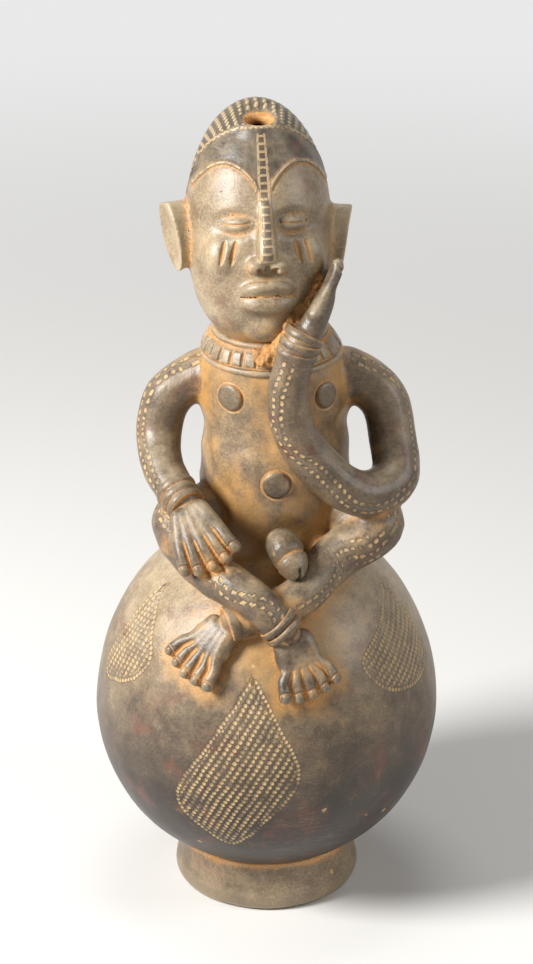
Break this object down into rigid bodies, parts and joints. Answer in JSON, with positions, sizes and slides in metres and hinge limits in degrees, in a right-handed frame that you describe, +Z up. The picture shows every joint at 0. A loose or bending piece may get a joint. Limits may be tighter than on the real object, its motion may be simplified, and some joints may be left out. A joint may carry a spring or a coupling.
{
  "type": "anthropomorphic terracotta jar",
  "caption": "Burnished terracotta vessel: a round globe on a foot ring, with a hollow seated, cross-legged figure as its neck and a mouth hole in the crown.",
  "frame": {"origin": "on the globe's axis, on the surface that the foot ring stands on", "axes": "+Z up, the figure looks along -Y, and its left hand, which is at its cheek, is towards +X"},
  "size_m": [0.1596, 0.1596, 0.3855],
  "materials": {
    "burnished_clay": "dark grey-brown burnished clay, semi-gloss, worn lighter on high places",
    "brown_clay": "browner, duller burnished clay with earth in its recesses",
    "luting_clay": "matt ochre luting clay"
  },
  "bodies": {
    "root": {"foot_ring": "brown_clay", "globe": "burnished_clay", "torso": "brown_clay", "head": "burnished_clay", "right_ear": "brown_clay", "left_ear": "brown_clay", "nose": "burnished_clay", "upper_lip": "burnished_clay", "lower_lip": "burnished_clay", "right_eyelids": "burnished_clay", "left_eyelids": "burnished_clay", "right_arm": "burnished_clay", "left_arm": "burnished_clay", "right_leg": "burnished_clay", "left_leg": "burnished_clay", "right_hand": "burnished_clay", "left_hand": "burnished_clay", "right_foot": "burnished_clay", "left_foot": "burnished_clay", "collar_band": "brown_clay", "collar_upper_cord": "brown_clay", "collar_lower_cord": "brown_clay", "right_breast": "burnished_clay", "left_breast": "burnished_clay", "navel": "burnished_clay", "phallus": "burnished_clay", "wrist_clay": "luting_clay", "right_bracelet_1": "brown_clay", "right_bracelet_2": "brown_clay", "right_bracelet_3": "brown_clay", "left_bracelet_1": "brown_clay", "left_bracelet_2": "brown_clay", "left_bracelet_3": "brown_clay", "right_anklet_1": "brown_clay", "right_anklet_2": "brown_clay", "left_anklet_1": "brown_clay"}
  },
  "joints": []
}
